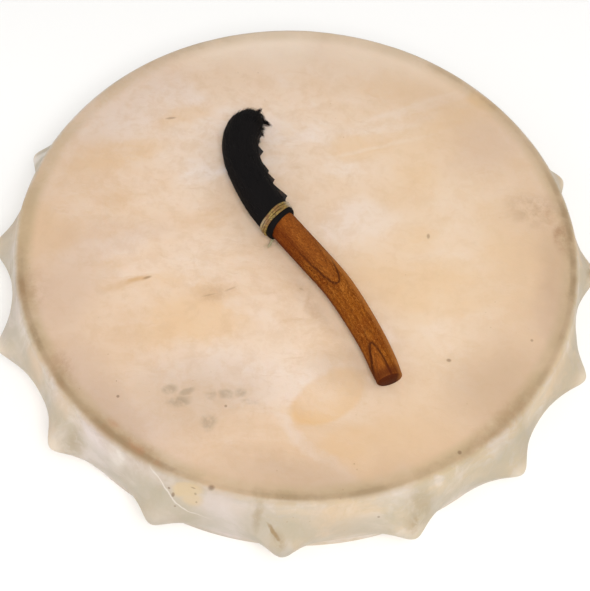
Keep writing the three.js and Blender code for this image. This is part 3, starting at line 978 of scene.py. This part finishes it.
def stick_place(share, turn):
    wide = blend(share, STICK_START, HEEL, BUTT_HALF_WIDTH, HEEL_HALF_WIDTH)
    wide += blend(share, HEEL, BELLY, 0, BELLY_SWELL)
    wide -= blend(share, SLEEVE_MOUTH, TAPER_END, 0, WIDTH_TAPER)
    tall = blend(share, STICK_START, HEEL, BUTT_HALF_HEIGHT, HEEL_HALF_HEIGHT)
    tall -= blend(share, SLEEVE_MOUTH, TAPER_END, 0, HEIGHT_TAPER)
    from_butt = (share - STICK_START) * beater_length
    butt = 1 - 0.09 * (1 - min(from_butt / BUTT_ROUND, 1)) ** 2
    return oval(share, turn, wide * butt, tall * butt)


butt_stations = [STICK_START + step for step in (0, 0.0008, 0.002, 0.0035, 0.0055, 0.009)]
shaft_stations = np.linspace(STICK_START + 0.016, STICK_END, 88)
bm = tube([*butt_stations, *shaft_stations], 48, stick_place)

# Each point's place in the wood, in millimetres: along the stick, across it and above its middle.
STICK_WAYS = ("along", "across", "above")
stick_places = []
for vert in bm.verts:
    nearest = np.argmin(np.linalg.norm(line_points - np.array(vert.co), axis=1))
    share = line_shares[nearest]
    centre, *ways = line_frame(share)
    along, across, above = ((vert.co - centre).dot(way) for way in ways)
    stick_places.append(((share - STICK_START) * beater_length + along, across, above))

stick_wood, tree, shader, wood_colour = make_wood(
    "oiled_wood", (112, 54, 6), (144, 80, 17), (60, 26, 4), 0.6, STICK_WAYS
)
along, across, above = (written(tree, way) for way in STICK_WAYS)
on_stick = written_place(tree, STICK_WAYS)

# Golden and dark clouds, redder towards the sleeve. Open pores lie along the grain, thickest near
# the sleeve, with worn pale places between them.
clouds = [
    (on_stick, (0.06, 0.2, 0.2), 7.0, 0.72, 1.6, 0, 0.5, 0.68, 0.6, (176, 110, 42)),
    (on_stick, 0.07, 4.0, 0.6, 0.0, 0, 0.4, 0.65, 0.45, (104, 42, 5)),
]
wood_colour = noise_washes(tree, wood_colour, clouds)
wood_colour = wash(tree, wood_colour, (122, 48, 6), fade(tree, along, 104, 150, 0, 0.42))
flecks = grain_noise(tree, on_stick, (0.3, 0.95, 0.95), 6.0, 0.78, 2.0)
thicker = calc(tree, "ADD", flecks, fade(tree, along, 70, 125, 0, 0.045))
wood_colour = wash(tree, wood_colour, (64, 24, 2), fade(tree, thicker, 0.54, 0.61, 0, 0.75))
wood_colour = wash(tree, wood_colour, (186, 120, 52), fade(tree, flecks, 0.47, 0.4, 0, 0.5))

# Where the knife cut through the growth rings they show as loops and arches.
waver = calc(tree, "SUBTRACT", grain_noise(tree, on_stick, 0.11, 4.0, 0.6), 0.5)
waver = calc(tree, "MULTIPLY", waver, 5.0)
wavy_across = calc(tree, "ADD", across, calc(tree, "MULTIPLY", waver, 0.35))
ring_breaks = fade(tree, grain_noise(tree, on_stick, 0.3, 4.0, 0.7), 0.36, 0.5, 0.6, 1.0)
top_side = fade(tree, above, -2.0, 3.0)


def add_ring(colour, start, towards_tip, centre, drift, steepness, thickness, strength):
    """One arched ring line: its apex is at start, and its arms open along the stick."""
    beyond = calc(tree, "MULTIPLY", calc(tree, "SUBTRACT", along, start), towards_tip)
    middle = calc(tree, "ADD", calc(tree, "MULTIPLY", beyond, drift), centre)
    aside = calc(tree, "SUBTRACT", wavy_across, middle)
    bow = product(tree, aside, aside, steepness)
    miss = calc(tree, "ADD", calc(tree, "SUBTRACT", beyond, bow), waver)
    inside = fade(tree, miss, 0.0, 9.0, 0, 0.16 * strength)
    colour = wash(tree, colour, (172, 100, 40), inside, top_side)
    slope = calc(tree, "MULTIPLY", calc(tree, "ABSOLUTE", aside), 1.8 * steepness)
    miss = calc(tree, "ABSOLUTE", calc(tree, "DIVIDE", miss, calc(tree, "ADD", slope, 1.0)))
    line = fade(tree, miss, thickness, thickness * 0.1, 0, strength)
    arms = fade(tree, beyond, 80, 16, 0.1, 1.0)
    return wash(tree, colour, (64, 26, 6), line, top_side, arms, ring_breaks)


for ring in (
    (86.5, 1.0, -2.2, 0.12, 0.35, 1.3, 0.95),
    (94.0, 1.0, -1.2, 0.11, 0.42, 0.7, 0.35),
    (103.0, 1.0, -0.8, 0.1, 0.6, 0.7, 0.35),
    (76.0, 1.0, -1.0, 0.05, 0.3, 0.8, 0.25),
    (30.0, -1.0, -4.4, -0.03, 0.85, 1.4, 0.95),
    (20.0, -1.0, -4.5, 0.02, 1.1, 0.7, 0.5),
    (43.0, -1.0, -3.0, 0.02, 0.8, 0.8, 0.3),
):
    wood_colour = add_ring(wood_colour, *ring)

# Finer pores over the rings, a darker sawn end, painted shade on the edges and a painted highlight.
fine_pores = grain_noise(tree, on_stick, (0.45, 1.5, 1.5), 5.0, 0.74, 2.0)
from_burn = calc(tree, "ABSOLUTE", calc(tree, "SUBTRACT", along, 3.5))
for paint, *masks in (
    ((70, 26, 4), fade(tree, fine_pores, 0.51, 0.57), fade(tree, along, 85, 125, 0.1, 0.5)),
    ((66, 26, 8), fade(tree, along, 0.9, 0.4), 0.9),
    ((76, 28, 8), fade(tree, from_burn, 8.0, 0.5, 0, 0.7)),
    # Painted shade on the left edge near the sleeve.
    ((92, 34, 4), fade(tree, along, 105, 145), fade(tree, across, 1, -9, 0, 0.5)),
    # Painted shade along the lower sides, most of it on the left.
    ((84, 36, 10), fade(tree, above, 3.5, -1, 0, 0.55), fade(tree, across, 6, -5, 0.1, 1)),
    # A painted golden highlight along the right edge.
    ((190, 124, 62), fade(tree, across, 4.5, 9.5, 0, 0.5), fade(tree, along, 135, 100)),
):
    wood_colour = wash(tree, wood_colour, paint, *masks)
tree.links.new(wood_colour, shader.inputs["Base Color"])
shader.inputs["Specular IOR Level"].default_value = 0.05
stick = make_piece(bm, "carved_stick", stick_wood, "beater_stick")
for way, values in zip(STICK_WAYS, zip(*stick_places)):
    write_values(stick, way, values)


# --- Fur sleeve -----------------------------------------------------------------------------------
# The leg skin of a black animal, sewn round the striking end with the hair outside and lying
# towards the tip. The skin's torn edge stands along the inside of the bend.


MOUTH_HALF_WIDTH, SLEEVE_HALF_WIDTH = 15.0, 14.6
MOUTH_HALF_HEIGHT, SLEEVE_HALF_HEIGHT = 11.3, 13.1


def sleeve_size(share):
    past = np.clip((share - TIP_START) / (1 - TIP_START), 0, 1)
    tip = math.sqrt(max(0.015, 1 - past * past))
    wide = blend(share, 0.6, 0.7, MOUTH_HALF_WIDTH, SLEEVE_HALF_WIDTH)
    tall = blend(share, 0.62, 0.69, MOUTH_HALF_HEIGHT, SLEEVE_HALF_HEIGHT)
    mouth = 1 - 0.07 * (1 - smooth_share(share, SLEEVE_MOUTH, SLEEVE_MOUTH + 0.008))
    return wide * tip * mouth, tall * tip * mouth


def sleeve_place(share, turn):
    """The mouth is cut a little aslant, and low ridges run along the skin."""
    wide, tall = sleeve_size(share)
    slant = 0.004 + 0.012 * math.sin(turn) + 0.003 * math.cos(turn) + 0.0008 * math.sin(7 * turn)
    share += slant * (1 - smooth_share(share, SLEEVE_MOUTH, SLEEVE_MOUTH + 0.09))
    ridges = 1 + 0.012 * math.sin(11 * turn + 30 * share) + 0.01 * math.sin(23 * turn - 55 * share)
    return oval(share, turn, wide * ridges, tall * ridges)


mouth_stations = [SLEEVE_MOUTH, 0.568, 0.571, 0.575]
tip_stations = [1 - (1 - TIP_START) * (1 - k / 14) ** 1.7 for k in range(1, 15)]
bm = tube([*mouth_stations, *np.linspace(0.58, TIP_START, 55), *tip_stations], 56, sleeve_place)
black_skin, tree, shader = new_material("black_skin")
nap = grain_noise(tree, object_place(tree), (300, 90, 300), 5.0, 0.65, turn=25)
skin_colour = mix(tree, nap, tone(5, 4, 5), tone(17, 13, 12))
finish_surface(tree, shader, skin_colour, 0.8, nap, strength=0.6, depth=0.8)
shader.inputs["Specular IOR Level"].default_value = 0.12
make_piece(bm, "fur_sleeve", black_skin, "beater_sleeve")

# The torn edge: a strip of skin with teeth that point back at the handle. Each has its peak, how
# far it stands out, and how far it runs towards the tip and towards the handle.
teeth = [
    (0.642, 3.7, 0.075, 0.012),
    (0.717, 3.1, 0.034, 0.01),
    (0.752, 1.7, 0.04, 0.009),
    (0.836, 3.9, 0.03, 0.022),
    (0.879, 1.5, 0.02, 0.012),
    (0.907, 1.2, 0.02, 0.01),
    (0.929, 1.6, 0.016, 0.012),
]


def torn_reach(share):
    """How far the torn edge stands out: each tooth rises slowly and breaks off sharply."""
    reach = 0.2
    for peak, height, to_tip, to_handle in teeth:
        run = (share - peak) / to_tip if share >= peak else (peak - share) / to_handle
        reach = max(reach, height * max(0, 1 - run) ** 1.2)
    return reach + 0.35 * noise.noise((share * 400, 0, 0))


TORN_START = 0.618
TORN_LENGTH = 0.332
TUCKED_IN = 1.2
TORN_LIFT = 2.6
TORN_THICKNESS = 0.8
bm = bmesh.new()
bmesh.ops.create_grid(bm, x_segments=4, y_segments=220, size=1)
for vert in bm.verts:
    share = TORN_START + TORN_LENGTH * (vert.co.y + 1) / 2
    out = (vert.co.x + 1) / 2
    centre, _, across, above = line_frame(share)
    reach = sleeve_size(share)[0] - TUCKED_IN + out * (torn_reach(share) + TUCKED_IN)
    curl = 0.8 * math.sin(60 * share) * out
    vert.co = centre + across * reach + above * (TORN_LIFT + curl)
bmesh.ops.recalc_face_normals(bm, faces=bm.faces)
bmesh.ops.solidify(bm, geom=bm.faces[:], thickness=TORN_THICKNESS)
torn_skin, tree, shader = new_material("torn_skin")
flecks = fade(tree, grain_noise(tree, object_place(tree), 500.0, 4.0, 0.6), 0.4, 0.65)
finish_surface(tree, shader, mix(tree, flecks, tone(14, 10, 8), tone(52, 33, 19)), 0.8)
make_piece(bm, "torn_edge", torn_skin)

# Short hair, each one a fine spike that lies almost flat and clear of the drum's head.
HAIR_COUNT = 5200
HEAD_CLEARANCE = 88.5
hair_random = random.Random(3)


def add_hair(bm, root, way, length, thickness):
    turn = way.to_track_quat("Z", "Y").to_matrix().to_4x4()
    bmesh.ops.create_cone(
        bm,
        cap_ends=True,
        segments=3,
        radius1=thickness,
        radius2=0,
        depth=length,
        matrix=Matrix.Translation(root + way * length / 2) @ turn,
    )


bm = bmesh.new()
for _ in range(HAIR_COUNT):
    share = hair_random.uniform(0.613, 0.992)
    turn = hair_random.uniform(0, 2 * math.pi)
    root = Vector(sleeve_place(share, turn))
    centre, ahead, across, above = line_frame(share)
    out = (root - centre).normalized()
    leaning = blend(share, 0.93, 1.0, 0.05, 0.16)
    way = (ahead + out * leaning + across * hair_random.uniform(-0.12, 0.12)).normalized()
    length = hair_random.uniform(3.5, 7.5) * blend(share, 0.95, 1.0, 1, 0.5)
    root = root - out * 0.25
    if min(root.z, (root + way * length).z) > HEAD_CLEARANCE:
        add_hair(bm, root, way, length, hair_random.uniform(0.1, 0.2))

# Longer locks stand out where the skin was cut across at the tip: root, point, spread and count.
for root_place, point_place, spread, count in (
    ((-40.5, 105.5, 103), (-28.8, 103.2, 99), 3.0, 90),
    ((-41.0, 111.5, 104), (-35.5, 107.5, 101), 2.4, 34),
    ((-43.0, 112.5, 104), (-38.5, 118.6, 103), 1.8, 34),
    ((-41.5, 97.0, 101), (-34.5, 90.8, 98), 1.9, 40),
    ((-41.5, 101.0, 102), (-34.8, 98.0, 98), 2.4, 34),
    ((-42.0, 91.5, 101), (-37.5, 84.5, 98), 1.5, 26),
):
    root_middle, point = Vector(root_place), Vector(point_place)
    for _ in range(count):
        scatter = Vector([hair_random.gauss(0, 0.5) * spread for _ in range(3)])
        root = root_middle + scatter
        end = root_middle.lerp(point, hair_random.uniform(0.55, 1.02)) + scatter * 0.3
        elbow = (root + end) / 2 + Vector([hair_random.uniform(-0.6, 0.6) for _ in range(3)])
        add_hair(bm, root, (elbow - root).normalized(), (elbow - root).length * 1.35, 0.24)
        add_hair(bm, elbow, (end - elbow).normalized(), (end - elbow).length, 0.16)
hair, tree, shader = new_material("black_hair")
place = object_place(tree)
colour = mix(tree, grain_noise(tree, place, 260.0, 3.0, 0.6), tone(4, 4, 5), tone(22, 17, 16))
# Lighter grey patches: partly the hair's own colour, partly a painted sheen.
tufts_and_sheen = fade(tree, grain_noise(tree, place, 55.0, 4.0, 0.6), 0.5, 0.66, 0, 0.6)
finish_surface(tree, shader, wash(tree, colour, (34, 29, 29), tufts_and_sheen), 0.5)
shader.inputs["Specular IOR Level"].default_value = 0.2
make_piece(bm, "sleeve_hair", hair)


# --- Binding --------------------------------------------------------------------------------------
# Split sinew, wound wet round the sleeve's mouth and knotted at the left. It dried hard
# and yellow, and the last turn frayed pale.

TURNS = 3.35
FIRST_TURN = 2.2
STRAND_HALF_WIDTH = 1.08
STRAND_HALF_HEIGHT = 0.9
UNDER_HALF_WIDTH, UNDER_HALF_HEIGHT = 14.4, 10.9
STRAND_STEPS = 420


def binding_centre(share):
    turn = share * TURNS * 2 * math.pi + FIRST_TURN
    at = BINDING_START + 0.003 + (BINDING_END - BINDING_START - 0.007) * share
    at += 0.0075 * math.sin(turn) + 0.0008 * math.sin(3.7 * turn)
    half_width = UNDER_HALF_WIDTH + STRAND_HALF_HEIGHT
    return Vector(oval(at, turn, half_width, UNDER_HALF_HEIGHT + STRAND_HALF_HEIGHT))


def sweep(points, around, half_width, half_height, normal_from):
    """A closed strand of oval section along points; normal_from gives the outward direction."""
    last = len(points) - 1

    def place(share, turn):
        index = round(share * last)
        ahead = (points[min(index + 1, last)] - points[max(index - 1, 0)]).normalized()
        out = normal_from(index)
        out = (out - ahead * out.dot(ahead)).normalized()
        side = ahead.cross(out)
        taper = min(1, 0.25 + 6 * min(share, 1 - share) * len(points) / 40)
        reach = side * math.cos(turn) * half_width + out * math.sin(turn) * half_height
        return points[index] + reach * taper

    return tube(np.linspace(0, 1, len(points)), around, place)


strand = [binding_centre(step / STRAND_STEPS) for step in range(STRAND_STEPS + 1)]
bind_middle = on_line((BINDING_START + BINDING_END) / 2)
bm = sweep(
    strand, 12, STRAND_HALF_WIDTH, STRAND_HALF_HEIGHT, lambda index: strand[index] - bind_middle
)
sinew, tree, shader = new_material("sinew")
place = object_place(tree)
fibres = grain_noise(tree, place, (500, 900, 900), 4.0, 0.6, turn=-35)
colour = mix(tree, fade(tree, fibres, 0.3, 0.7), tone(72, 50, 16), tone(166, 138, 64))
stained = fade(tree, grain_noise(tree, place, 130.0, 4.0, 0.6), 0.48, 0.62, 0, 0.6)
colour = wash(tree, colour, (118, 70, 34), stained)
# Pale fraying at the right end, and a faint painted highlight at the left end.
pale_end_and_highlight = [(-7.5, 19, 5, 5, 0, 0.6, 0.85), (-30, -1, 3, 3, 0, 0.7, 0.3)]
colour = wash(tree, colour, (190, 176, 158), spots(tree, place, pale_end_and_highlight))
finish_surface(tree, shader, colour, 0.55, fibres, strength=0.6, depth=0.4)
make_piece(bm, "sinew_turns", sinew, "beater_binding")

# The knot's two short ends, trimmed close and stuck down on the left.
ARCH = Vector((-0.6, -0.6, 0.8))
bm = bmesh.new()
for start, end in (
    (Vector((-19.0, -3.5, 92.5)), Vector((-24.0, -12.0, 89.5))),
    (Vector((-20.5, -3.0, 92.0)), Vector((-22.0, -10.0, 89.4))),
):
    middle = (start + end) / 2 + ARCH
    stub = [start.lerp(middle, t).lerp(middle.lerp(end, t), t) for t in np.linspace(0, 1, 18)]
    part = sweep(stub, 8, 0.75, 0.6, lambda index: Vector((0, 0, 1)))
    stub_mesh = bpy.data.meshes.new("stub")
    part.to_mesh(stub_mesh)
    part.free()
    bm.from_mesh(stub_mesh)
    bpy.data.meshes.remove(stub_mesh)
grey_sinew, tree, shader = new_material("grey_sinew")
fray = grain_noise(tree, object_place(tree), 600.0, 3.0, 0.6)
finish_surface(tree, shader, mix(tree, fray, tone(134, 126, 92), tone(184, 174, 138)), 0.6)
make_piece(bm, "knot_ends", grey_sinew)
